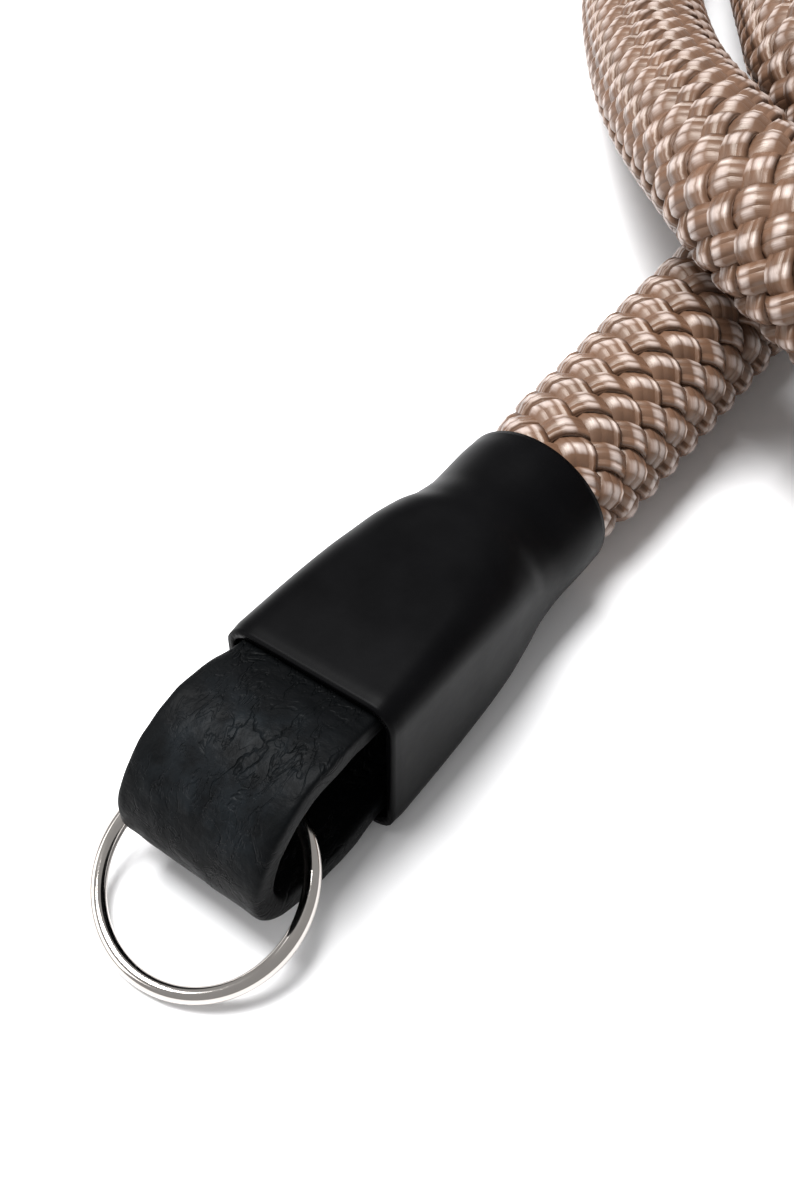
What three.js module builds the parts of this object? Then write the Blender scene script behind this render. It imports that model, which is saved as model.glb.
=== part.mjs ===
// Rope camera neck strap, lying on a table in a loose coil.
// Millimetres, +Z up, the table at z = 0. The near end lies along X, its ring at
// negative X and its rope leaving towards positive X. The origin is at the middle
// of the near sleeve's flat resting face. Both ends are alike, and each is modelled
// in a frame of its own that the near end shares with the whole strap.

import * as THREE from 'three';

// Rope: a soft round braid, squeezed where the sleeves hold it.

const ROPE_DIAMETER = 12;
const ROPE_RADIUS = ROPE_DIAMETER / 2;
const ROPE_SIDES = 12;
const ROPE_STEPS = 80;
const ROPE_END_X = -8;
const SQUEEZED_HEIGHT = 6.9;
const REAR_HEIGHT = 6.35;

// Sleeve: a shrunk tube over the rope's end and both layers of leather.

const SLEEVE_LENGTH = 26.6;
const SLEEVE_MOUTH_X = -SLEEVE_LENGTH / 2;
const SLEEVE_WALL = 0.6;
const SLEEVE_SEGMENTS = 24;

// Leather: one strip folded into a loop, its two ends in the sleeve.

const LEATHER_THICKNESS = 1.9;
const LEATHER_WIDTH = 11.6;
const LEATHER_WIDTH_IN_SLEEVE = 10.6;
const LEATHER_OFFSET_Y = -0.3;
const LEATHER_STEPS = 30;

// The front of an end leans: its top face falls towards +Y.

const LEAN_PIVOT_Y = -6;
const LEAN_SLOPE = 0.08;
const LEAN_FULL_HEIGHT = 13.8;
const LEAN_FADE = { from: -2, to: 7 };

// Ring: round wire, its back inside the loop and its front on the table.

const RING_DIAMETER = 15.9;
const RING_WIRE = 1.2;
const RING_SEGMENTS = 32;
const RING_WIRE_SIDES = 8;
const RING_BACK = { x: -18.1, y: -0.4, z: 6.0 };

// Where the far end lies: the middle of its sleeve, and the way its rope leaves.

const FAR_END = { x: 132, y: -92, turn: THREE.MathUtils.degToRad(90) };

// Cross-sections of the sleeve, front to rear. The front is a rounded rectangle
// over rope and leather, the rear a circle over the rope alone.

const SLEEVE_SECTIONS = [
  { x: SLEEVE_MOUTH_X, halfWidth: 7.0, halfHeight: 6.9, corner: 1.8 },
  { x: -9.0, halfWidth: 7.05, halfHeight: 6.95, corner: 2.0 },
  { x: -3.5, halfWidth: 7.0, halfHeight: 6.9, corner: 2.2 },
  { x: 0.5, halfWidth: 6.8, halfHeight: 6.75, corner: 3.2 },
  { x: 3.5, halfWidth: 6.6, halfHeight: 6.6, corner: 4.7 },
  { x: 5.5, halfWidth: 6.45, halfHeight: 6.5, corner: 5.8 },
  { x: 8.0, halfWidth: 6.4, halfHeight: 6.4, corner: 6.4 },
  { x: 11.5, halfWidth: 6.4, halfHeight: 6.4, corner: 6.4 },
  { x: -SLEEVE_MOUTH_X, halfWidth: 6.35, halfHeight: 6.35, corner: 6.35 },
];

// Side view of the leather strip's middle line, from its top end in the sleeve
// round the nose to its bottom end.

const LEATHER_LINE = [
  { x: -3.0, z: 11.75 },
  { x: -9.0, z: 11.75 },
  { x: -13.5, z: 12.0 },
  { x: -16.5, z: 12.75 },
  { x: -19.0, z: 13.0 },
  { x: -21.6, z: 12.2 },
  { x: -23.8, z: 10.1 },
  { x: -24.9, z: 7.3 },
  { x: -24.5, z: 4.9 },
  { x: -22.6, z: 3.4 },
  { x: -19.5, z: 2.7 },
  { x: -16.5, z: 2.3 },
  { x: -13.5, z: 2.1 },
  { x: -9.0, z: 2.05 },
  { x: -3.0, z: 2.05 },
];

// The rope's half sizes along an end, from its cut end out to its full size.

const ROPE_SQUEEZE = [
  { x: ROPE_END_X, halfWidth: 5.2, halfHeight: 3.0 },
  { x: 3.0, halfWidth: 4.8, halfHeight: 3.9 },
  { x: 6.0, halfWidth: 4.8, halfHeight: 4.6 },
  { x: -SLEEVE_MOUTH_X + 0.5, halfWidth: 5.3, halfHeight: 5.3 },
  { x: -SLEEVE_MOUTH_X + 4, halfWidth: 5.85, halfHeight: 5.85 },
  { x: -SLEEVE_MOUTH_X + 8, halfWidth: 6.0, halfHeight: 6.0 },
];
const FULL_ROPE_X = -SLEEVE_MOUTH_X + 8;

// The rope's middle line between its two ends, on the table where z is the rope's
// radius. It runs under two turns of its own coil, round a small turn, a wide turn
// and an outer turn, and crosses over its first stretch on each.

const ROPE_LOOP = [
  // the straight lead and the small turn, from inside the coil
  [30, 0, 6], [40, 0, 6], [50, 0, 6], [61, 0, 6], [73, -1, 6], [85, -5.5, 6],
  [95, -13.5, 6], [101.5, -23.5, 6], [104, -35, 6], [100.5, -47.5, 6], [91, -57, 6],
  [78, -61, 6], [64.5, -58, 6], [54.9, -49.9, 6.7], [50.5, -38.2, 9.6], [50, -25.5, 13.8],
  // over the lead, then the wide turn
  [51, -16, 16.9], [54, -7, 18.6], [58.8, 0.4, 18.8], [65.1, 5.8, 17.3], [74.5, 11.5, 14.4],
  [84.3, 17.5, 11.6], [94.5, 23.6, 9], [105, 29, 7], [117, 33, 6.1], [129, 32.5, 6],
  [139.5, 27, 6], [146.5, 17, 6], [148.5, 4.5, 6], [144.5, -8.5, 6], [136, -21, 6],
  [128, -34, 6], [121, -47, 6], [113, -59, 6], [102, -69, 6], [89, -75, 6],
  [75, -76, 6], [61, -71, 6], [49, -62, 6.3], [40, -50, 7.8], [35.5, -37, 11],
  [34.2, -23, 15], [35.3, -12, 18],
  // over the lead again, then the outer turn
  [39, -3, 18.8], [45.4, 4.8, 17.2], [54.3, 13.4, 13.9], [65.2, 22, 10.5],
  [77.7, 30.4, 7.6], [90.6, 37.6, 6.2], [104, 43.5, 6], [118, 47.5, 6],
  [132, 48.5, 6], [146, 45, 6], [156, 36.5, 6], [161.8, 24, 6], [163, 10, 6],
  [160.5, -4, 6], [154.5, -17.5, 6], [147, -30.5, 6], [140, -43.5, 6], [135, -57, 6],
];

const materials = {
  rope: new THREE.MeshStandardMaterial({ color: 0xa68a74, roughness: 0.45, metalness: 0 }),
  sleeve: new THREE.MeshStandardMaterial({ color: 0x121214, roughness: 0.5, metalness: 0 }),
  leather: new THREE.MeshStandardMaterial({ color: 0x16181b, roughness: 0.8, metalness: 0 }),
  ring: new THREE.MeshStandardMaterial({ color: 0xc4c0bb, roughness: 0.15, metalness: 1 }),
};

// Reads a table of rows with an x column at any x, easing between the rows.
function readTable(table, x) {
  const last = table.length - 1;
  if (x <= table[0].x) {
    return table[0];
  }
  if (x >= table[last].x) {
    return table[last];
  }
  const next = table.findIndex((row) => row.x > x);
  const low = table[next - 1];
  const high = table[next];
  const share = (x - low.x) / (high.x - low.x);
  const row = {};
  for (const column of Object.keys(low)) {
    row[column] = THREE.MathUtils.lerp(low[column], high[column], share);
  }
  return row;
}

// How far a point of an end's front drops, so that the top face leans to +Y.
function leanDrop(x, y, z) {
  const strength = 1 - THREE.MathUtils.smoothstep(x, LEAN_FADE.from, LEAN_FADE.to);
  return strength * LEAN_SLOPE * Math.max(0, y - LEAN_PIVOT_Y) * (z / LEAN_FULL_HEIGHT);
}

// A point of a rounded rectangle, at the angle of its outward normal. The points
// nearest to each side's middle lie on that side, so that the sides are flat.
function roundedRectangle(angle, halfWidth, halfHeight, corner) {
  const reach = corner / Math.cos(Math.PI / SLEEVE_SEGMENTS);
  return {
    y: Math.sign(Math.cos(angle)) * (halfWidth - corner) + reach * Math.cos(angle),
    z: Math.sign(Math.sin(angle)) * (halfHeight - corner) + reach * Math.sin(angle),
  };
}

// A round two-walled tube along X, each point then moved out to the section.
function makeSleeve() {
  const outside = 2;
  const inside = 1;
  const profile = SLEEVE_SECTIONS.map((row) => new THREE.Vector2(inside, row.x));
  for (const row of [...SLEEVE_SECTIONS].reverse()) {
    profile.push(new THREE.Vector2(outside, row.x));
  }
  profile.push(profile[0].clone());
  const geometry = new THREE.LatheGeometry(profile, SLEEVE_SEGMENTS, Math.PI / SLEEVE_SEGMENTS);
  const position = geometry.attributes.position;
  for (let i = 0; i < position.count; i += 1) {
    const x = position.getY(i);
    const angle = Math.atan2(position.getZ(i), position.getX(i));
    const radius = Math.hypot(position.getX(i), position.getZ(i));
    const wall = radius > (outside + inside) / 2 ? 0 : SLEEVE_WALL;
    const row = readTable(SLEEVE_SECTIONS, x);
    const point = roundedRectangle(
      angle, row.halfWidth - wall, row.halfHeight - wall, row.corner - wall);
    const z = row.halfHeight + point.z;
    position.setXYZ(i, x, point.y, z - leanDrop(x, point.y, z));
  }
  return geometry;
}

// The strip's side view, walked along one face and back along the other, then
// given its width, which narrows where the sleeve takes it.
function makeLeatherLoop() {
  const line = new THREE.SplineCurve(LEATHER_LINE.map((row) => new THREE.Vector2(row.x, row.z)));
  const outer = [];
  const inner = [];
  for (let i = 0; i <= LEATHER_STEPS; i += 1) {
    const share = i / LEATHER_STEPS;
    const point = line.getPointAt(share);
    const tangent = line.getTangentAt(share);
    const normal = new THREE.Vector2(tangent.y, -tangent.x).multiplyScalar(LEATHER_THICKNESS / 2);
    outer.push(point.clone().sub(normal));
    inner.push(point.clone().add(normal));
  }
  const sideView = new THREE.Shape([...outer, ...inner.reverse()]);
  const geometry = new THREE.ExtrudeGeometry(sideView, {
    depth: 1, steps: 1, bevelEnabled: false,
  });
  const position = geometry.attributes.position;
  for (let i = 0; i < position.count; i += 1) {
    const x = position.getX(i);
    const z = position.getY(i);
    const narrowing = THREE.MathUtils.smoothstep(x, SLEEVE_MOUTH_X - 4, SLEEVE_MOUTH_X);
    const width = THREE.MathUtils.lerp(LEATHER_WIDTH, LEATHER_WIDTH_IN_SLEEVE, narrowing);
    const offset = THREE.MathUtils.lerp(LEATHER_OFFSET_Y, 0, narrowing);
    const y = offset + (0.5 - position.getZ(i)) * width;
    position.setXYZ(i, x, y, z - leanDrop(x, y, z));
  }
  return geometry;
}

// A ring of round wire, its back at RING_BACK and its front lowered to the table.
function makeRing() {
  const middle = (RING_DIAMETER - RING_WIRE) / 2;
  const profile = [];
  for (let i = 0; i <= RING_WIRE_SIDES; i += 1) {
    const angle = (i / RING_WIRE_SIDES) * 2 * Math.PI;
    profile.push(new THREE.Vector2(
      middle + (RING_WIRE / 2) * Math.cos(angle), (RING_WIRE / 2) * Math.sin(angle)));
  }
  const geometry = new THREE.LatheGeometry(profile, RING_SEGMENTS);
  geometry.rotateX(Math.PI / 2);
  geometry.translate(-middle, 0, 0);
  geometry.rotateY(-Math.asin((RING_BACK.z - RING_WIRE / 2) / (2 * middle)));
  geometry.translate(RING_BACK.x, RING_BACK.y, RING_BACK.z);
  return geometry;
}

// The middle line through one end, from its cut end out to where it is full size.
function endRoute(frame) {
  const stations = [
    [ROPE_END_X, SQUEEZED_HEIGHT], [-2, SQUEEZED_HEIGHT - 0.1], [4, 6.6],
    [9, REAR_HEIGHT], [14, REAR_HEIGHT], [FULL_ROPE_X, ROPE_RADIUS],
  ];
  return stations.map(([x, z]) => new THREE.Vector3(x, 0, z).applyMatrix4(frame));
}

// A round bar along the route, then squeezed inside and just past each sleeve.
function makeRope(ends) {
  const section = new THREE.Shape();
  for (let i = 0; i < ROPE_SIDES; i += 1) {
    const angle = ((i + 0.5) / ROPE_SIDES) * 2 * Math.PI;
    const x = ROPE_RADIUS * Math.cos(angle);
    const y = ROPE_RADIUS * Math.sin(angle);
    if (i === 0) {
      section.moveTo(x, y);
    } else {
      section.lineTo(x, y);
    }
  }
  const route = [
    ...endRoute(ends[0]),
    ...ROPE_LOOP.map((point) => new THREE.Vector3(...point)),
    ...endRoute(ends[1]).reverse(),
  ];
  const geometry = new THREE.ExtrudeGeometry(section, {
    steps: ROPE_STEPS,
    bevelEnabled: false,
    extrudePath: new THREE.CatmullRomCurve3(route, false, 'centripetal'),
  });
  const position = geometry.attributes.position;
  const point = new THREE.Vector3();
  for (const frame of ends) {
    const toEnd = frame.clone().invert();
    for (let i = 0; i < position.count; i += 1) {
      point.fromBufferAttribute(position, i).applyMatrix4(toEnd);
      const inEnd = point.x < FULL_ROPE_X && point.x > 2 * ROPE_END_X;
      if (inEnd && Math.abs(point.y) < 1.5 * ROPE_RADIUS && point.z < 1.2 * ROPE_DIAMETER) {
        const row = readTable(ROPE_SQUEEZE, point.x);
        const middle = readTable([
          { x: 0, z: SQUEEZED_HEIGHT }, { x: 7, z: REAR_HEIGHT },
          { x: 14, z: REAR_HEIGHT }, { x: FULL_ROPE_X, z: ROPE_RADIUS },
        ], point.x).z;
        point.y *= row.halfWidth / ROPE_RADIUS;
        point.z = middle + (point.z - middle) * (row.halfHeight / ROPE_RADIUS);
        point.applyMatrix4(frame);
        position.setXYZ(i, point.x, point.y, point.z);
      }
    }
  }
  return geometry;
}

function addMesh(parent, name, geometry, material) {
  const mesh = new THREE.Mesh(geometry, material);
  mesh.name = name;
  parent.add(mesh);
}

const nearEnd = new THREE.Group();
const farEnd = new THREE.Group();
farEnd.position.set(FAR_END.x, FAR_END.y, 0);
farEnd.rotation.z = FAR_END.turn;

for (const [side, end] of [['near', nearEnd], ['far', farEnd]]) {
  addMesh(end, `${side}_sleeve`, makeSleeve(), materials.sleeve);
  addMesh(end, `${side}_leather_loop`, makeLeatherLoop(), materials.leather);
  addMesh(end, `${side}_ring`, makeRing(), materials.ring);
  end.updateMatrix();
}

const strap = new THREE.Group();
strap.add(nearEnd, farEnd);
addMesh(strap, 'rope', makeRope([nearEnd.matrix, farEnd.matrix]), materials.rope);

export default strap;
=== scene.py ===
"""Rope camera neck strap: the looks of its rope, sleeves, leather loops and rings."""

import math

import bmesh
import bpy
from mathutils import Matrix, Vector, noise


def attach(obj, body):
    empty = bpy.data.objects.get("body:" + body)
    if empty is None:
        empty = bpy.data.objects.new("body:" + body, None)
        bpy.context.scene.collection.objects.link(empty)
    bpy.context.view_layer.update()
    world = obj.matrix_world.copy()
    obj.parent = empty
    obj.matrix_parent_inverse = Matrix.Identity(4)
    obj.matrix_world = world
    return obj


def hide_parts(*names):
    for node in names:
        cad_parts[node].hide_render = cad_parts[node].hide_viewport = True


bl_info = {
    "name": "Rope Camera Strap",
    "version": (1, 0, 0),
    "blender": (4, 2, 0),
    "location": "View3D > Sidebar > Strap",
    "description": "Builds a braided rope camera strap with leather loops and wire rings",
    "category": "Add Mesh",
}

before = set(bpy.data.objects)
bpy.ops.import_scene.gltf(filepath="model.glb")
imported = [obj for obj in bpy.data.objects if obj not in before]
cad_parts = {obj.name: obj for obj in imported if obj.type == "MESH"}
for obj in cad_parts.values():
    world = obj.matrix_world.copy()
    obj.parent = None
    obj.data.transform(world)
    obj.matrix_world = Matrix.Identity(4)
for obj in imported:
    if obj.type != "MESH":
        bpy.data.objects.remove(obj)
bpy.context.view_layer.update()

MM = 0.001
UP = Vector((0, 0, 1))

# Where each end of the strap lies: the middle of its sleeve, and its turn.
ENDS = {
    "near": Matrix.Identity(4),
    "far": Matrix.Translation((132 * MM, -92 * MM, 0)) @ Matrix.Rotation(math.pi / 2, 4, "Z"),
}

# The rope's middle line through one end, x and z in millimetres.
END_ROUTE = [(-8, 6.9), (-2, 6.8), (4, 6.6), (9, 6.35), (14, 6.35), (21.3, 6)]

# The rope's middle line between its ends, in millimetres.
ROPE_LOOP = [
    (30, 0, 6), (40, 0, 6), (50, 0, 6), (61, 0, 6), (73, -1, 6), (85, -5.5, 6),
    (95, -13.5, 6), (101.5, -23.5, 6), (104, -35, 6), (100.5, -47.5, 6), (91, -57, 6),
    (78, -61, 6), (64.5, -58, 6), (54.9, -49.9, 6.7), (50.5, -38.2, 9.6), (50, -25.5, 13.8),
    (51, -16, 16.9), (54, -7, 18.6), (58.8, 0.4, 18.8), (65.1, 5.8, 17.3), (74.5, 11.5, 14.4),
    (84.3, 17.5, 11.6), (94.5, 23.6, 9), (105, 29, 7), (117, 33, 6.1), (129, 32.5, 6),
    (139.5, 27, 6), (146.5, 17, 6), (148.5, 4.5, 6), (144.5, -8.5, 6), (136, -21, 6),
    (128, -34, 6), (121, -47, 6), (113, -59, 6), (102, -69, 6), (89, -75, 6),
    (75, -76, 6), (61, -71, 6), (49, -62, 6.3), (40, -50, 7.8), (35.5, -37, 11),
    (34.2, -23, 15), (35.3, -12, 18),
    (39, -3, 18.8), (45.4, 4.8, 17.2), (54.3, 13.4, 13.9), (65.2, 22, 10.5),
    (77.7, 30.4, 7.6), (90.6, 37.6, 6.2), (104, 43.5, 6), (118, 47.5, 6),
    (132, 48.5, 6), (146, 45, 6), (156, 36.5, 6), (161.8, 24, 6), (163, 10, 6),
    (160.5, -4, 6), (154.5, -17.5, 6), (147, -30.5, 6), (140, -43.5, 6), (135, -57, 6),
]
ROPE_SPACING = 1.5 * MM

# The rope's size along an end against its full size: distance from the cut end in
# millimetres, and the share.
ROPE_SWELL = [
    (0, 0.70), (10, 0.78), (15, 0.86), (21.5, 0.905), (24.5, 0.97), (28, 1.02),
    (40, 1.02), (60, 1.0),
]

# A strand's section, its yarns side by side: across and out, in half widths and half
# thicknesses, from its edge round over the top.
STRAND_SECTION = [
    (1.0, -0.35), (0.88, 0.52), (0.55, 0.92), (0.0, 1.0), (-0.55, 0.92), (-0.88, 0.52),
    (-1.0, -0.35), (-0.6, -0.95), (0.0, -1.0), (0.6, -0.95),
]
YARNS = 3

# Where a strand's cross sections stand along one pitch.
STRAND_STATIONS = [0.0, 0.125, 0.25, 0.38, 0.5, 0.62, 0.75, 0.875, 1.0]

# How far a strand sinks from its crown to where it passes under, in its thicknesses.
STRAND_SINK = 0.98

# The braid starts under the sleeve, and the place of one crown sets where the others
# lie. Both are measured along the rope from its cut end.
BRAID_START = 17 * MM
CROWN_AT = 24.3 * MM

# The braid is made in this many pieces, each under the limit on triangles.
BRAID_PARTS = 4
TILE_MERGE = 0.02 * MM

# The braid is pressed flat this far above the table.
BRAID_LIFT = 0.02 * MM

# Sleeve sections front to rear: x, half width, half height, corner, in millimetres.
SLEEVE_SECTIONS = [
    (-13.3, 6.95, 6.9, 1.9), (-12.2, 7.05, 6.95, 2.0), (-9.0, 7.05, 6.95, 2.3),
    (-3.5, 6.95, 6.9, 2.8), (0.5, 6.8, 6.75, 3.5), (3.5, 6.55, 6.6, 4.6),
    (5.5, 6.4, 6.45, 5.8), (8.0, 6.35, 6.35, 6.35), (11.5, 6.4, 6.4, 6.4),
    (13.3, 6.35, 6.35, 6.35),
]
SLEEVE_HEIGHT = 13.8 * MM

# The top face of an end's front leans to +Y: how steeply, from which line on, and
# between which places along X the lean dies away.
LEAN = 0.08
LEAN_FROM = -6 * MM
LEAN_FADES = (-2 * MM, 7 * MM)

# The leather strip's middle line, x and z in millimetres.
LEATHER_LINE = [
    (-3.0, 11.75), (-9.0, 11.75), (-13.5, 12.0), (-16.5, 12.75), (-19.0, 13.0),
    (-21.6, 12.2), (-23.8, 10.1), (-24.9, 7.3), (-24.5, 4.9), (-22.6, 3.4),
    (-19.5, 2.7), (-16.5, 2.3), (-13.5, 2.1), (-9.0, 2.05), (-3.0, 2.05),
]
LEATHER_SPACING = 0.42 * MM
LEATHER_CORNER = 0.3 * MM

# Between these places along X the strip narrows to its width inside the sleeve. Outside
# it, the strip lies this far to the side.
LEATHER_NARROWS = (-17.3 * MM, -13.3 * MM)
LEATHER_WIDTH_INSIDE = 11.5 * MM
LEATHER_ASIDE = -0.05 * MM

# Soft dents in the leather: how close, per millimetre, how deep, in millimetres, and
# between which places along X they set in.
DENTS = [(0.55, 0.10), (1.6, 0.05)]
DENTS_SET_IN = (-13.0, -15.0)

# A paler sheen is painted on the leather's fold, in millimetres: more higher up, further
# out from the sleeve and closer to its middle line.
SHEEN_UP = (7.0, 11.5)
SHEEN_OUT = (-14.5, -19.0)
SHEEN_ACROSS = (6.5, 3.0)
SHEEN_MIDDLE = -0.3
# The colour of the sheen painted on the fold.
PAINTED_SHEEN_COLOUR = (0.0058, 0.0075, 0.009, 1.0)

# The leather's creases, coarse and fine: scale, width, depth, scale of the patches that
# have them, and turn.
CREASES = [(430.0, 0.03, 0.12 * MM, 170.0, 0.6), (760.0, 0.035, 0.08 * MM, 240.0, -0.7)]

# The ring's back, where it passes through the leather loop.
RING_BACK = Vector((-18.1, -0.4, 6.0)) * MM
RING_MERGE = 0.001 * MM

# How finely the shapes are divided, round and along.
CURVE_STEPS = 40
CORE_SIDES = 16
SLEEVE_SIDES = 96
SLEEVE_STEPS = 76
LEATHER_SIDES = 64
WIRE_SIDES = 20
RING_STEPS = 128

# The photograph's camera: its place, its turn from +Y to +X, how far it looks down, its
# focal length in the photograph's pixels, and the sensor's height in Blender's units.
CAMERA_PLACE = Vector((-54.42, -38.91, 90.74)) * MM
CAMERA_TURN = math.radians(52.44)
CAMERA_DOWN = math.radians(51.07)
FOCAL_PIXELS = 1500
PHOTO_HEIGHT = 1189
SENSOR_HEIGHT = 36.0

# The table's half size, and how far it lies under the strap.
TABLE_REACH = 1.6
TABLE_DROP = 0.05 * MM

# The lamps aim at the middle of what the photograph shows. Each has its place from there
# (to the right, ahead and up), its width and length, and its power.
LAMPS_AIM = Vector((30, -10, 5)) * MM
LAMPS = {
    "window": ((-0.2, 0.13, 0.75), (0.42, 0.42), 13.0),
    "side": ((-0.7, -0.1, 0.35), (0.5, 0.4), 1.6),
}
ROOM_LIGHT = 0.45


class RopeSettings(bpy.types.PropertyGroup):
    crown_radius: bpy.props.FloatProperty(
        name="Crown radius", description="Radius out to the top of the strands",
        default=6.25 * MM, unit="LENGTH")
    core_radius: bpy.props.FloatProperty(
        name="Core radius", description="Radius of the core inside the braid",
        default=4.9 * MM, unit="LENGTH")
    pitch: bpy.props.FloatProperty(
        name="Pitch", description="Distance between two strands' crowns along the rope",
        default=3.0 * MM, unit="LENGTH")
    strand_width: bpy.props.FloatProperty(
        name="Strand width", description="Width of one flattened strand",
        default=2.6 * MM, unit="LENGTH")
    strand_thickness: bpy.props.FloatProperty(
        name="Strand thickness", description="Thickness of one flattened strand",
        default=1.1 * MM, unit="LENGTH")
    strands: bpy.props.IntProperty(
        name="Strands each way", description="Strands that wind to each hand", default=8)
    skew: bpy.props.FloatProperty(
        name="Skew", description="How far one side's crowns lie ahead of the other's",
        default=1.2 * MM, unit="LENGTH")
    colour: bpy.props.FloatVectorProperty(
        name="Colour", description="Colour of the yarn", size=4, subtype="COLOR",
        default=(0.116, 0.061, 0.036, 1.0), min=0.0, max=1.0)


class SleeveSettings(bpy.types.PropertyGroup):
    wall: bpy.props.FloatProperty(
        name="Wall", description="Thickness of the shrunk tube", default=0.55 * MM,
        unit="LENGTH")
    colour: bpy.props.FloatVectorProperty(
        name="Colour", description="Colour of the shrunk tube", size=4, subtype="COLOR",
        default=(0.0013, 0.0013, 0.0015, 1.0), min=0.0, max=1.0)


class LeatherSettings(bpy.types.PropertyGroup):
    width: bpy.props.FloatProperty(
        name="Width", description="Width of the strip outside the sleeve",
        default=12.1 * MM, unit="LENGTH")
    thickness: bpy.props.FloatProperty(
        name="Thickness", description="Thickness of the strip", default=1.9 * MM,
        unit="LENGTH")
    colour: bpy.props.FloatVectorProperty(
        name="Colour", description="Colour of the leather", size=4, subtype="COLOR",
        default=(0.0013, 0.0016, 0.0019, 1.0), min=0.0, max=1.0)


class RingSettings(bpy.types.PropertyGroup):
    diameter: bpy.props.FloatProperty(
        name="Diameter", description="Outside diameter of the ring", default=15.9 * MM,
        unit="LENGTH")
    wire: bpy.props.FloatProperty(
        name="Wire", description="Diameter of the ring's wire", default=1.2 * MM,
        unit="LENGTH")
    colour: bpy.props.FloatVectorProperty(
        name="Colour", description="Colour of the polished steel", size=4, subtype="COLOR",
        default=(0.56, 0.525, 0.495, 1.0), min=0.0, max=1.0)


class StageSettings(bpy.types.PropertyGroup):
    floor_colour: bpy.props.FloatVectorProperty(
        name="Floor colour", description="Colour of the table", size=4, subtype="COLOR",
        default=(0.9, 0.9, 0.91, 1.0), min=0.0, max=1.0)


def smooth(low, high, value):
    """A soft step from 0 at the first place to 1 at the second."""
    share = min(1.0, max(0.0, (value - low) / (high - low)))
    return share * share * (3 - 2 * share)


def read_table(table, x):
    """Reads a table of rows by their first column, with a smooth curve through the rows."""
    if x <= table[0][0]:
        return list(table[0][1:])
    if x >= table[-1][0]:
        return list(table[-1][1:])
    i = next(n for n, row in enumerate(table) if row[0] > x) - 1
    rows = [table[max(0, i - 1)], table[i], table[i + 1], table[min(len(table) - 1, i + 2)]]
    span = rows[2][0] - rows[1][0]
    t = (x - rows[1][0]) / span
    values = []
    for c in range(1, len(rows[0])):
        step = rows[2][c] - rows[1][c]
        before = (rows[1][c] - rows[0][c]) / max(1e-9, rows[1][0] - rows[0][0])
        after = (rows[3][c] - rows[2][c]) / max(1e-9, rows[3][0] - rows[2][0])
        here = step / span
        into = 0.0 if before * here <= 0 else 2 * before * here / (before + here)
        out = 0.0 if after * here <= 0 else 2 * after * here / (after + here)
        h1 = t * t * (3 - 2 * t)
        h2 = t * (1 - t) * (1 - t)
        h3 = -t * t * (1 - t)
        values.append(rows[1][c] + step * h1 + span * (into * h2 + out * h3))
    return values


def catmull_rom(points, spacing):
    """A centripetal Catmull-Rom curve through the points, at an even spacing, and its
    length."""
    first = points[0] * 2 - points[1]
    last = points[-1] * 2 - points[-2]
    padded = [first, *points, last]
    dense = []
    for i in range(1, len(padded) - 2):
        p0, p1, p2, p3 = padded[i - 1:i + 3]
        d1 = math.sqrt((p1 - p0).length)
        d2 = math.sqrt((p2 - p1).length)
        d3 = math.sqrt((p3 - p2).length)
        m1 = (p1 - p0) / d1 - (p2 - p0) / (d1 + d2) + (p2 - p1) / d2
        m2 = (p2 - p1) / d2 - (p3 - p1) / (d2 + d3) + (p3 - p2) / d3
        m1 *= d2
        m2 *= d2
        for k in range(CURVE_STEPS):
            t = k / CURVE_STEPS
            dense.append(
                p1 * (2 * t**3 - 3 * t**2 + 1) + m1 * (t**3 - 2 * t**2 + t)
                + p2 * (3 * t**2 - 2 * t**3) + m2 * (t**3 - t**2))
    dense.append(points[-1].copy())
    reach = [0.0]
    for a, b in zip(dense, dense[1:]):
        reach.append(reach[-1] + (b - a).length)
    count = round(reach[-1] / spacing)
    even = []
    at = 0
    for k in range(count + 1):
        want = reach[-1] * k / count
        while at < len(reach) - 2 and reach[at + 1] < want:
            at += 1
        share = (want - reach[at]) / max(1e-12, reach[at + 1] - reach[at])
        even.append(dense[at].lerp(dense[at + 1], share))
    return even, reach[-1]


def course(route, i):
    """The way that a route runs at one of its points."""
    return (route[min(i + 1, len(route) - 1)] - route[max(i - 1, 0)]).normalized()


def perimeter_point(share, half_width, half_height, corner):
    """A point of a rounded rectangle, by its even share of the way round."""
    quarter, part = divmod(share % 1.0 * 4, 1.0)
    run = half_width - corner
    rise = half_height - corner
    arc = math.pi / 2 * corner
    way = (1 - part if quarter % 2 else part) * (rise + arc + run)
    if way <= rise:
        across, up = half_width, way
    elif way <= rise + arc:
        angle = (way - rise) / corner
        across, up = run + corner * math.cos(angle), rise + corner * math.sin(angle)
    else:
        across, up = run + rise + arc - way, half_height
    return across if quarter in (0, 3) else -across, up if quarter < 2 else -up


def leaned(point):
    """Lowers a point of an end, so that the top face of its front leans to +Y."""
    strength = LEAN * (1 - smooth(*LEAN_FADES, point.x))
    point.z -= strength * max(0.0, point.y - LEAN_FROM) * (point.z / SLEEVE_HEIGHT)
    return point


def open_edges(verts):
    """The edges of these vertices that don't have a face on both sides."""
    edges = (e for v in verts for e in v.link_edges if len(e.link_faces) < 2)
    return list(dict.fromkeys(edges))


def sweep(bm, stations, sides, place):
    """Extrudes a loop of vertices from station to station. Each vertex keeps its share
    of the way round, and place(station, share) says where it goes."""
    layers = bm.verts.layers.float
    share = layers.get("share") or layers.new("share")
    made = bmesh.ops.create_circle(bm, segments=sides, radius=1.0)["verts"]
    for vert in made:
        vert[share] = (math.atan2(vert.co.y, vert.co.x) / math.tau) % 1.0
        vert.co = place(stations[0], vert[share])
    loops = [made]
    for station in stations[1:]:
        result = bmesh.ops.extrude_edge_only(bm, edges=open_edges(made))["geom"]
        made = [g for g in result if isinstance(g, bmesh.types.BMVert)]
        for vert in made:
            vert.co = place(station, vert[share])
        loops.append(made)
    return loops


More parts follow.
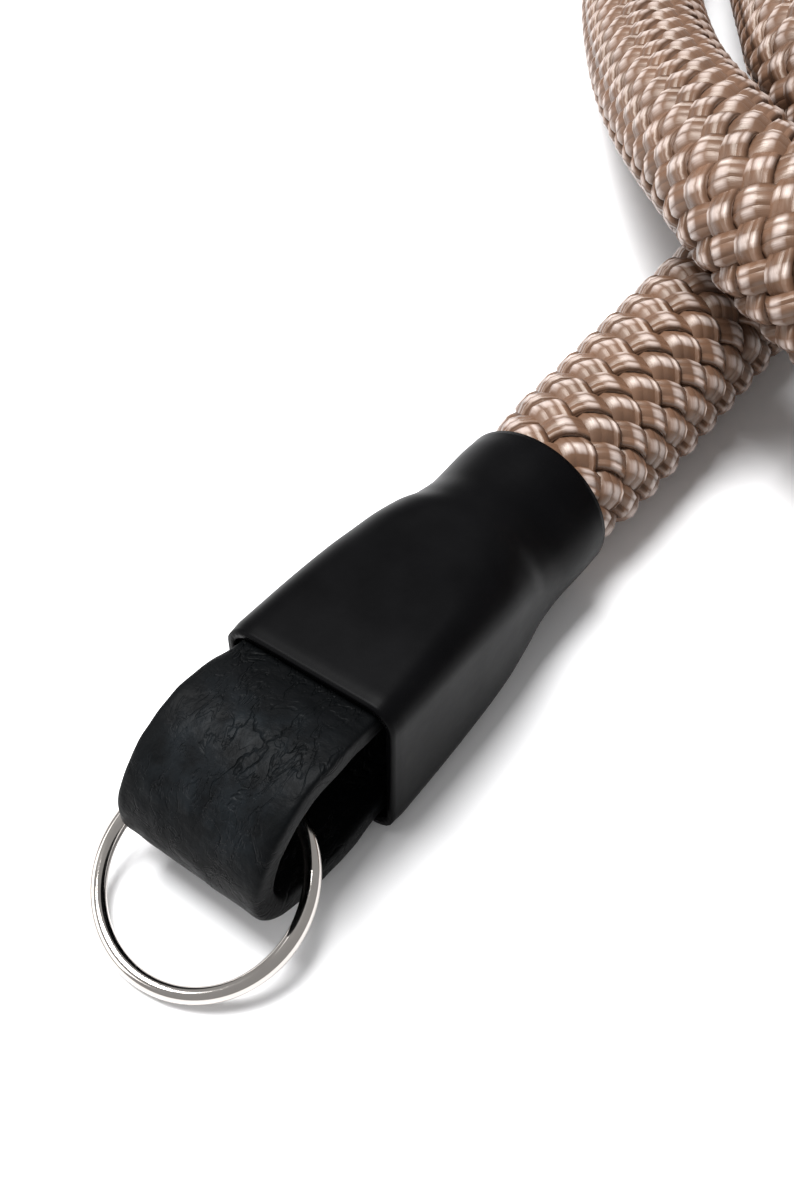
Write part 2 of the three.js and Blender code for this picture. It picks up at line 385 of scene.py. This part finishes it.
def close_ends(bm, loops):
    """Fills the two open ends of a swept shape, and turns its faces outwards."""
    for loop in (loops[0], loops[-1]):
        bmesh.ops.contextual_create(bm, geom=open_edges(loop))
    bmesh.ops.recalc_face_normals(bm, faces=bm.faces)


def add_object(name, data):
    """Puts a new object into the scene."""
    made = bpy.data.objects.new(name, data)
    bpy.context.scene.collection.objects.link(made)
    return made


def finish_piece(name, bm, material, body="strap"):
    """Makes the piece's object at the origin and lets it ride on its body."""
    mesh = bpy.data.meshes.new(name)
    bm.to_mesh(mesh)
    bm.free()
    mesh.materials.append(material)
    mesh.shade_smooth()
    piece = add_object(name, mesh)
    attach(piece, body)
    return piece


def toned(colour, share, lift=0.0):
    """A darker or paler tone of a colour."""
    return tuple(min(1.0, c * share + lift) for c in colour[:3]) + (1.0,)


class Shader:
    """A material's nodes, made one after the other."""

    def __init__(self, name):
        self.material = bpy.data.materials.new(name)
        self.material.use_nodes = True
        self.tree = self.material.node_tree
        self.surface = self.tree.nodes["Principled BSDF"].inputs
        coords = self.add("ShaderNodeTexCoord")
        self.object = coords.outputs["Object"]
        self.uv = coords.outputs["UV"]

    def add(self, kind, **values):
        node = self.tree.nodes.new(kind)
        for key, value in values.items():
            setattr(node, key, value)
        return node

    def feed(self, inputs, values):
        """Gives inputs their values: another node's output, or a plain number or colour."""
        for key, value in values.items():
            if isinstance(value, bpy.types.NodeSocket):
                self.tree.links.new(value, inputs[key])
            else:
                inputs[key].default_value = value

    def mapping(self, vector, scale, turn=0.0):
        node = self.add("ShaderNodeMapping")
        self.feed(
            node.inputs, {"Vector": vector, "Rotation": (0.0, 0.0, turn), "Scale": scale})
        return node.outputs["Vector"]

    def noise(self, vector, scale, detail, roughness=0.55, distortion=0.0):
        node = self.add("ShaderNodeTexNoise")
        self.feed(node.inputs, {
            "Vector": vector, "Scale": scale, "Detail": detail, "Roughness": roughness,
            "Distortion": distortion})
        return node.outputs["Fac"]

    def ramp(self, value, low, high):
        """Runs from one tone to another, each given as its position and colour."""
        node = self.add("ShaderNodeValToRGB")
        for element, (at, colour) in zip(node.color_ramp.elements, (low, high)):
            element.position = at
            element.color = colour
        self.feed(node.inputs, {"Fac": value})
        return node.outputs["Color"]

    def range(self, value, source, target):
        """Stretches a value from one range to another, and holds it inside that."""
        node = self.add("ShaderNodeMapRange")
        self.feed(node.inputs, {
            "Value": value, "From Min": source[0], "From Max": source[1],
            "To Min": target[0], "To Max": target[1]})
        return node.outputs["Result"]

    def mix(self, share, one, other):
        node = self.add("ShaderNodeMix", data_type="RGBA")
        self.feed(node.inputs, {0: share, 6: one, 7: other})
        return node.outputs[2]

    def math(self, operation, *values):
        node = self.add("ShaderNodeMath", operation=operation)
        self.feed(node.inputs, dict(enumerate(values)))
        return node.outputs[0]

    def distance(self, value, middle):
        """How far a value is from a middle one."""
        return self.math("ABSOLUTE", self.math("SUBTRACT", value, middle))

    def bump(self, height, strength, depth, over=None):
        """Raises the surface by a pattern, over another bump where one is given."""
        node = self.add("ShaderNodeBump")
        self.feed(node.inputs, {"Height": height, "Strength": strength, "Distance": depth})
        if over is not None:
            self.feed(node.inputs, {"Normal": over})
        return node.outputs["Normal"]


def braid_material(colour):
    """Silky yarn with a highlight painted in a paler tone on each crown. Its map runs along
    a strand from crown to crown, and across it from edge to edge."""
    made = Shader("Silky tan braid")
    patches = made.noise(made.object, scale=260.0, detail=2.0)
    tone = made.ramp(patches, (0.3, toned(colour, 0.74)), (0.7, toned(colour, 1.18)))
    strand = made.noise(made.object, scale=900.0, detail=2.0)
    tone = made.mix(made.range(strand, (0.35, 0.65), (0.0, 0.5)), tone, colour[:])
    filaments = made.noise(made.mapping(made.uv, (3.0, 34.0, 1.0)), scale=1.0, detail=3.0)
    parts = made.add("ShaderNodeSeparateXYZ")
    made.feed(parts.inputs, {"Vector": made.uv})
    along, across = parts.outputs["X"], parts.outputs["Y"]
    turn = made.math("MULTIPLY", made.math("SUBTRACT", across, 0.5 / YARNS), YARNS * math.pi)
    yarns = made.math("ABSOLUTE", made.math("COSINE", turn))
    crown = made.math("COSINE", made.math("MULTIPLY", along, math.tau))

    # a highlight is painted into the colour on a crown's top, on the rounds of its yarns and
    # clear of its edges
    painted_highlight = made.range(crown, (0.78, 0.98), (0.0, 0.74))
    for share in (
            made.range(yarns, (0.1, 0.75), (0.15, 1.0)),
            made.range(made.distance(across, 0.5), (0.26, 0.42), (1.0, 0.0)),
            made.range(filaments, (0.3, 0.6), (0.6, 1.0))):
        painted_highlight = made.math("MULTIPLY", painted_highlight, share)
    rounds = made.bump(yarns, strength=0.8, depth=0.12 * MM)
    made.feed(made.surface, {
        # the paler, cream tone mixed in here is the painted highlight
        "Base Color": made.mix(painted_highlight, tone, toned(colour, 1.5, lift=0.37)),
        "Roughness": made.range(filaments, (0.3, 0.7), (0.3, 0.44)),
        "Normal": made.bump(filaments, strength=0.5, depth=0.05 * MM, over=rounds),
        "Specular IOR Level": 0.5,
        "Specular Tint": (1.0, 0.94, 0.87, 1.0)})
    return made.material


def core_material(colour):
    made = Shader("Rope core")
    fibres = made.noise(made.object, scale=700.0, detail=4.0)
    made.feed(made.surface, {
        "Base Color": made.ramp(fibres, (0.3, toned(colour, 0.2)), (0.7, toned(colour, 0.4))),
        "Roughness": 0.8,
        "Normal": made.bump(fibres, strength=0.6, depth=0.1 * MM)})
    return made.material


def sleeve_material(colour):
    made = Shader("Satin black shrink tube")
    film = made.noise(made.object, scale=180.0, detail=4.0)
    fine = made.noise(made.object, scale=2600.0, detail=2.0)
    waves = made.bump(film, strength=0.25, depth=0.12 * MM)
    made.feed(made.surface, {
        "Base Color": made.ramp(film, (0.35, colour[:]), (0.75, toned(colour, 1.8))),
        "Roughness": made.range(film, (0.3, 0.7), (0.33, 0.41)),
        "Normal": made.bump(fine, strength=0.12, depth=0.02 * MM, over=waves),
        "Specular IOR Level": 0.036})
    return made.material


def leather_material(colour):
    """Black leather with creases in patches, pebbled, and paler where a sheen is painted on
    its fold.
    """
    made = Shader("Black leather with painted sheen")
    folds = None
    for scale, width, depth, patch_scale, turn in CREASES:
        lie = made.mapping(made.object, (0.45, 1.0, 1.0), turn)
        field = made.noise(lie, scale, detail=3.0, distortion=0.6)
        creases = made.range(made.distance(field, 0.5), (0.0, width), (0.0, 1.0))
        patches = made.noise(made.object, patch_scale, detail=2.0)
        plain = made.range(patches, (0.44, 0.58), (1.0, 0.0))
        height = made.math("MAXIMUM", creases, plain)
        folds = made.bump(height, strength=0.7, depth=depth, over=folds)
    cloudy = made.noise(made.object, scale=420.0, detail=5.0, roughness=0.6)
    folds = made.bump(cloudy, strength=0.8, depth=0.26 * MM, over=folds)
    grain = made.add("ShaderNodeTexVoronoi", feature="SMOOTH_F1")
    made.feed(grain.inputs, {"Vector": made.object, "Scale": 1700.0})
    pebbles = grain.outputs["Distance"]
    painted_sheen = made.add("ShaderNodeAttribute", attribute_name="painted_sheen").outputs["Fac"]
    # the paler sheen painted on the fold's top, broken up in clouds
    sheen_share = made.math("MULTIPLY", painted_sheen, made.range(cloudy, (0.4, 0.64), (0.1, 1.0)))
    made.feed(made.surface, {
        "Base Color": made.mix(sheen_share, colour[:], PAINTED_SHEEN_COLOUR),
        "Roughness": made.range(sheen_share, (0.0, 1.0), (0.52, 0.42)),
        "Normal": made.bump(pebbles, strength=0.5, depth=0.06 * MM, over=folds),
        "Specular IOR Level": 0.055})
    return made.material


def steel_material(colour):
    made = Shader("Polished steel")
    smears = made.noise(made.object, scale=500.0, detail=3.0)
    fine = made.noise(made.object, scale=4000.0, detail=2.0)
    made.feed(made.surface, {
        "Base Color": made.ramp(smears, (0.3, toned(colour, 0.94)), (0.7, colour[:])),
        "Roughness": made.range(smears, (0.3, 0.7), (0.07, 0.14)),
        "Normal": made.bump(fine, strength=0.05, depth=0.01 * MM),
        "Metallic": 1.0})
    return made.material


def table_material(colour):
    made = Shader("White table")
    mottle = made.noise(made.object, scale=60.0, detail=3.0)
    made.feed(made.surface, {
        "Base Color": made.ramp(mottle, (0.3, toned(colour, 0.985)), (0.7, colour[:])),
        "Roughness": 0.6})
    return made.material


def rope_route():
    """The rope's whole middle line in metres, and its length."""
    near = [ENDS["near"] @ Vector((x * MM, 0, z * MM)) for x, z in END_ROUTE]
    far = [ENDS["far"] @ Vector((x * MM, 0, z * MM)) for x, z in END_ROUTE]
    between = [Vector(p) * MM for p in ROPE_LOOP]
    return catmull_rom(near + between + far[::-1], ROPE_SPACING)


def rope_sizes(count, length):
    """The rope's size against its full size, at each point of its middle line."""
    spacing = length / (count - 1)
    places = [i * spacing for i in range(count)]
    return [read_table(ROPE_SWELL, min(at, length - at) / MM)[0] for at in places]


def rope_core(route, sizes, rows, settings):
    """The round core inside the braid, through the given rows of the route."""
    def place(station, share):
        centre, side, up, radius = station
        angle = math.tau * share
        return centre + (side * math.cos(angle) + up * math.sin(angle)) * radius

    stations = []
    side = Vector((0, 1, 0))
    for i, (centre, size) in enumerate(zip(route, sizes)):
        ahead = course(route, i)
        side = (side - ahead * side.dot(ahead)).normalized()
        stations.append((centre, side, ahead.cross(side), settings.core_radius * size))
    bm = bmesh.new()
    close_ends(bm, sweep(bm, [stations[row] for row in rows], CORE_SIDES, place))
    return finish_piece("rope_core", bm, core_material(settings.colour))


def section_point(share):
    """The point of a strand's section that is this share of the way round."""
    count = len(STRAND_SECTION)
    return STRAND_SECTION[round(share * count) % count]


def braid_tile(settings):
    """One pitch of the braid along X: each strand passes once over and once under."""
    bm = bmesh.new()
    uv = bm.loops.layers.uv.new("UVMap")
    pitch = settings.pitch
    lead = pitch * settings.strands
    half_width = settings.strand_width / 2
    half_thick = settings.strand_thickness / 2
    over = settings.crown_radius - half_thick
    under = over - settings.strand_thickness * STRAND_SINK
    middle = (over + under) / 2
    swing = (over - under) / 2
    slant = math.tau * middle / lead
    tilt = math.atan(slant)
    crown_slant = (slant - 1 / slant) / 2 * math.cos(tilt)
    stations = [pitch * s for s in STRAND_STATIONS]
    bm.verts.layers.float.new("phase")
    for hand in (1, -1):
        def phase_at(x, side):
            """How many of its crowns a strand has passed, with those of one hand half
            a pitch from those of the other."""
            shift = hand * side * half_width * crown_slant
            return (x - shift) / pitch + (0.5 if hand < 0 else 0.0)

        for index in range(settings.strands):
            def place(x, share):
                side, height = section_point(share)
                across = side * half_width
                radius = middle + swing * math.cos(math.tau * phase_at(x, side))
                angle = hand * math.tau * x / lead + math.tau * index / settings.strands
                angle += across * math.cos(tilt) / radius
                r = radius + height * half_thick
                spot = x - hand * across * math.sin(tilt) - settings.skew * math.cos(angle)
                return Vector((spot, r * math.cos(angle), r * math.sin(angle)))

            loops = sweep(bm, stations, len(STRAND_SECTION), place)
            share = bm.verts.layers.float["share"]
            phase = bm.verts.layers.float["phase"]
            for x, loop in zip(stations, loops):
                for vert in loop:
                    vert[phase] = phase_at(x, section_point(vert[share])[0])
    for face in bm.faces:
        for loop in face.loops:
            side = section_point(loop.vert[share])[0]
            loop[uv].uv = (loop.vert[phase], 0.5 + side / 2)
    tile = bpy.data.meshes.new("tile")
    bm.to_mesh(tile)
    bm.free()
    return tile


def guide_line(route, sizes):
    """A line along the rope that bends the braid and gives it its size."""
    line = bpy.data.curves.new("route", "CURVE")
    line.dimensions = "3D"
    line.twist_mode = "MINIMUM"
    spline = line.splines.new("POLY")
    spline.points.add(len(route) - 1)
    for point, centre, size in zip(spline.points, route, sizes):
        point.co = (*centre, 1.0)
        point.radius = size
    return add_object("route", line)


def bent_braid(tile, start, count, pitch, guide):
    """A row of tiles from a start along the rope, bent along its guide line."""
    straight = tile.copy()
    straight.transform(Matrix.Translation((start, 0, 0)))
    maker = add_object("maker", straight)
    row = maker.modifiers.new("row", "ARRAY")
    row.use_relative_offset = False
    row.use_constant_offset = True
    row.constant_offset_displace = (pitch, 0, 0)
    row.count = count
    row.use_merge_vertices = True
    row.merge_threshold = TILE_MERGE
    bend = maker.modifiers.new("bend", "CURVE")
    bend.object = guide
    bend.deform_axis = "POS_X"
    bpy.context.view_layer.update()
    graph = bpy.context.evaluated_depsgraph_get()
    bent = bpy.data.meshes.new_from_object(maker.evaluated_get(graph))
    bm = bmesh.new()
    bm.from_mesh(bent)
    bpy.data.objects.remove(maker)
    for mesh in (straight, bent):
        bpy.data.meshes.remove(mesh)
    bmesh.ops.holes_fill(bm, edges=[e for e in bm.edges if e.is_boundary], sides=0)
    for vert in bm.verts:
        vert.co.z = max(vert.co.z, BRAID_LIFT)
    bmesh.ops.recalc_face_normals(bm, faces=bm.faces)
    return bm


class STRAP_OT_rope(bpy.types.Operator):
    """Makes the rope: a core, and a braid of strands over it"""

    bl_idname = "strap.rope"
    bl_label = "Rope"

    def execute(self, context):
        settings = context.scene.strap_rope
        route, length = rope_route()
        sizes = rope_sizes(len(route), length)
        rows = list(range(0, len(route) - 1, 2)) + [len(route) - 1]
        core = rope_core(route, sizes, rows, settings)

        tile = braid_tile(settings)
        guide = guide_line(route, sizes)
        material = braid_material(settings.colour)
        total = int((length - 2 * BRAID_START) / settings.pitch)
        start = BRAID_START + (CROWN_AT - BRAID_START) % settings.pitch
        for part in range(BRAID_PARTS):
            count = total // BRAID_PARTS + (1 if part < total % BRAID_PARTS else 0)
            bm = bent_braid(tile, start, count, settings.pitch, guide)
            finish_piece(f"rope_braid_{part + 1}", bm, material)
            start += count * settings.pitch
        bpy.data.objects.remove(guide)
        bpy.data.meshes.remove(tile)
        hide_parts("rope")
        return {"FINISHED"}


class STRAP_OT_sleeves(bpy.types.Operator):
    """Makes the shrunk tube over the leather and the rope at each end"""

    bl_idname = "strap.sleeves"
    bl_label = "Sleeves"

    def execute(self, context):
        settings = context.scene.strap_sleeve
        material = sleeve_material(settings.colour)
        front, rear = SLEEVE_SECTIONS[0][0], SLEEVE_SECTIONS[-1][0]
        steps = range(SLEEVE_STEPS + 1)
        stations = [front + (rear - front) * k / SLEEVE_STEPS for k in steps]

        def place(x, share):
            half_width, half_height, corner = read_table(SLEEVE_SECTIONS, x)
            y, z = perimeter_point(share, half_width, half_height, corner)
            return leaned(Vector((x, y, z + half_height)) * MM)

        for side, matrix in ENDS.items():
            bm = bmesh.new()
            sweep(bm, stations, SLEEVE_SIDES, place)
            bmesh.ops.recalc_face_normals(bm, faces=bm.faces)
            bmesh.ops.solidify(bm, geom=bm.faces[:], thickness=settings.wall)
            bmesh.ops.transform(bm, matrix=matrix, verts=bm.verts)
            piece = finish_piece(f"{side}_shrink_sleeve", bm, material)
            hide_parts(f"{side}_sleeve")
        return {"FINISHED"}


def dent_leather_and_paint_sheen(bm):
    """Dents the leather, and marks where a paler sheen is painted on it."""
    painted_sheen = bm.verts.layers.float.new("painted_sheen")
    for vert in bm.verts:
        spot = vert.co / MM
        dent = sum(noise.noise(spot * close) * depth for close, depth in DENTS)
        vert.co += vert.normal * dent * MM * smooth(*DENTS_SET_IN, spot.x)
        vert[painted_sheen] = (
            smooth(*SHEEN_UP, spot.z) * smooth(*SHEEN_OUT, spot.x)
            * smooth(*SHEEN_ACROSS, abs(spot.y - SHEEN_MIDDLE)))


class STRAP_OT_leather_loops(bpy.types.Operator):
    """Makes the leather strip that is folded round each ring"""

    bl_idname = "strap.leather_loops"
    bl_label = "Leather loops"

    def execute(self, context):
        settings = context.scene.strap_leather
        material = leather_material(settings.colour)
        line = [Vector((x, 0, z)) * MM for x, z in LEATHER_LINE]
        route, _ = catmull_rom(line, LEATHER_SPACING)
        side_on = Vector((0, 1, 0))
        stations = [(point, side_on.cross(course(route, i))) for i, point in enumerate(route)]

        def place(station, share):
            centre, out = station
            inside = smooth(*LEATHER_NARROWS, centre.x)
            width = settings.width * (1 - inside) + LEATHER_WIDTH_INSIDE * inside
            across, up = perimeter_point(
                share, width / 2, settings.thickness / 2, LEATHER_CORNER)
            point = centre - out * up
            point.y = LEATHER_ASIDE * (1 - inside) + across
            return leaned(point)

        for side, matrix in ENDS.items():
            bm = bmesh.new()
            close_ends(bm, sweep(bm, stations, LEATHER_SIDES, place))
            dent_leather_and_paint_sheen(bm)
            bmesh.ops.transform(bm, matrix=matrix, verts=bm.verts)
            piece = finish_piece(f"{side}_leather", bm, material)
            finer = piece.modifiers.new("finer", "SUBSURF")
            finer.levels = 1
            finer.render_levels = 1
            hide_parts(f"{side}_leather_loop")
        return {"FINISHED"}


class STRAP_OT_rings(bpy.types.Operator):
    """Makes the round wire ring of each end"""

    bl_idname = "strap.rings"
    bl_label = "Rings"

    def execute(self, context):
        settings = context.scene.strap_ring
        material = steel_material(settings.colour)
        radius = (settings.diameter - settings.wire) / 2
        pitch = math.asin((RING_BACK.z - settings.wire / 2) / (2 * radius))
        lay = Matrix.Translation(RING_BACK) @ Matrix.Rotation(-pitch, 4, "Y")
        for side, matrix in ENDS.items():
            bm = bmesh.new()
            bmesh.ops.create_circle(
                bm, segments=WIRE_SIDES, radius=settings.wire / 2,
                matrix=Matrix.Rotation(math.pi / 2, 4, "X"))
            bmesh.ops.spin(
                bm, geom=bm.verts[:] + bm.edges[:], cent=(-radius, 0, 0), axis=UP,
                dvec=(0, 0, 0), angle=math.tau, steps=RING_STEPS, use_merge=True)
            bmesh.ops.remove_doubles(bm, verts=bm.verts, dist=RING_MERGE)
            bmesh.ops.recalc_face_normals(bm, faces=bm.faces)
            bmesh.ops.transform(bm, matrix=matrix @ lay, verts=bm.verts)
            piece = finish_piece(
                f"{side}_wire_ring", bm, material, f"{side}_ring")
            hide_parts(f"{side}_ring")
        return {"FINISHED"}


def photo_camera(right, ahead):
    """The camera at the photograph's place and angle."""
    lens = bpy.data.cameras.new("camera")
    lens.sensor_fit = "VERTICAL"
    lens.sensor_height = SENSOR_HEIGHT
    lens.lens = SENSOR_HEIGHT * FOCAL_PIXELS / PHOTO_HEIGHT
    lens.clip_start = 5 * MM
    view = ahead * math.cos(CAMERA_DOWN) - UP * math.sin(CAMERA_DOWN)
    above = ahead * math.sin(CAMERA_DOWN) + UP * math.cos(CAMERA_DOWN)
    place = Matrix((right, above, -view)).transposed().to_4x4()
    place.translation = CAMERA_PLACE
    camera = add_object("camera", lens)
    camera.matrix_world = place
    return camera


def table_top(material):
    """The table that the strap lies on."""
    bm = bmesh.new()
    bmesh.ops.create_grid(bm, x_segments=2, y_segments=2, size=TABLE_REACH)
    bmesh.ops.translate(bm, vec=(0, 0, -TABLE_DROP), verts=bm.verts)
    mesh = bpy.data.meshes.new("table")
    bm.to_mesh(mesh)
    bm.free()
    mesh.materials.append(material)
    return add_object("table", mesh)


def add_lamp(name, place, size, power):
    """A soft rectangular lamp that is aimed at the strap."""
    light = bpy.data.lights.new(name, "AREA")
    light.shape = "RECTANGLE"
    light.size, light.size_y = size
    light.energy = power
    turn = (LAMPS_AIM - place).to_track_quat("-Z", "Y").to_matrix().to_4x4()
    add_object(name, light).matrix_world = Matrix.Translation(place) @ turn


class STRAP_OT_stage(bpy.types.Operator):
    """Makes the table, the lights and the camera"""

    bl_idname = "strap.stage"
    bl_label = "Stage"

    def execute(self, context):
        scene = context.scene
        right = Vector((math.cos(CAMERA_TURN), -math.sin(CAMERA_TURN), 0))
        ahead = Vector((math.sin(CAMERA_TURN), math.cos(CAMERA_TURN), 0))
        scene.camera = photo_camera(right, ahead)
        table_top(table_material(scene.strap_stage.floor_colour))
        for name, ((to_right, to_ahead, height), size, power) in LAMPS.items():
            place = LAMPS_AIM + right * to_right + ahead * to_ahead + UP * height
            add_lamp(name, place, size, power)
        scene.world = bpy.data.worlds.new("room")
        scene.world.use_nodes = True
        room = scene.world.node_tree.nodes["Background"].inputs
        room["Color"].default_value = (1, 1, 1, 1)
        room["Strength"].default_value = ROOM_LIGHT
        scene.view_settings.view_transform = "Standard"
        return {"FINISHED"}


class STRAP_PT_panel(bpy.types.Panel):
    """Lists the pieces of the strap"""

    bl_idname = "STRAP_PT_panel"
    bl_label = "Rope camera strap"
    bl_space_type = "VIEW_3D"
    bl_region_type = "UI"
    bl_category = "Strap"

    def draw(self, context):
        for operator in OPERATORS:
            self.layout.operator(operator.bl_idname)


SETTINGS = {
    "strap_rope": RopeSettings,
    "strap_sleeve": SleeveSettings,
    "strap_leather": LeatherSettings,
    "strap_ring": RingSettings,
    "strap_stage": StageSettings,
}
OPERATORS = (
    STRAP_OT_stage, STRAP_OT_rope, STRAP_OT_sleeves, STRAP_OT_leather_loops, STRAP_OT_rings)


def register():
    for cls in (*SETTINGS.values(), *OPERATORS, STRAP_PT_panel):
        bpy.utils.register_class(cls)
    for name, cls in SETTINGS.items():
        setattr(bpy.types.Scene, name, bpy.props.PointerProperty(type=cls))


def unregister():
    for name in SETTINGS:
        delattr(bpy.types.Scene, name)
    for cls in reversed((*SETTINGS.values(), *OPERATORS, STRAP_PT_panel)):
        bpy.utils.unregister_class(cls)


def main():
    register()
    bpy.ops.strap.stage()
    bpy.ops.strap.rope()
    bpy.ops.strap.sleeves()
    bpy.ops.strap.leather_loops()
    bpy.ops.strap.rings()


if __name__ == "__main__":
    main()
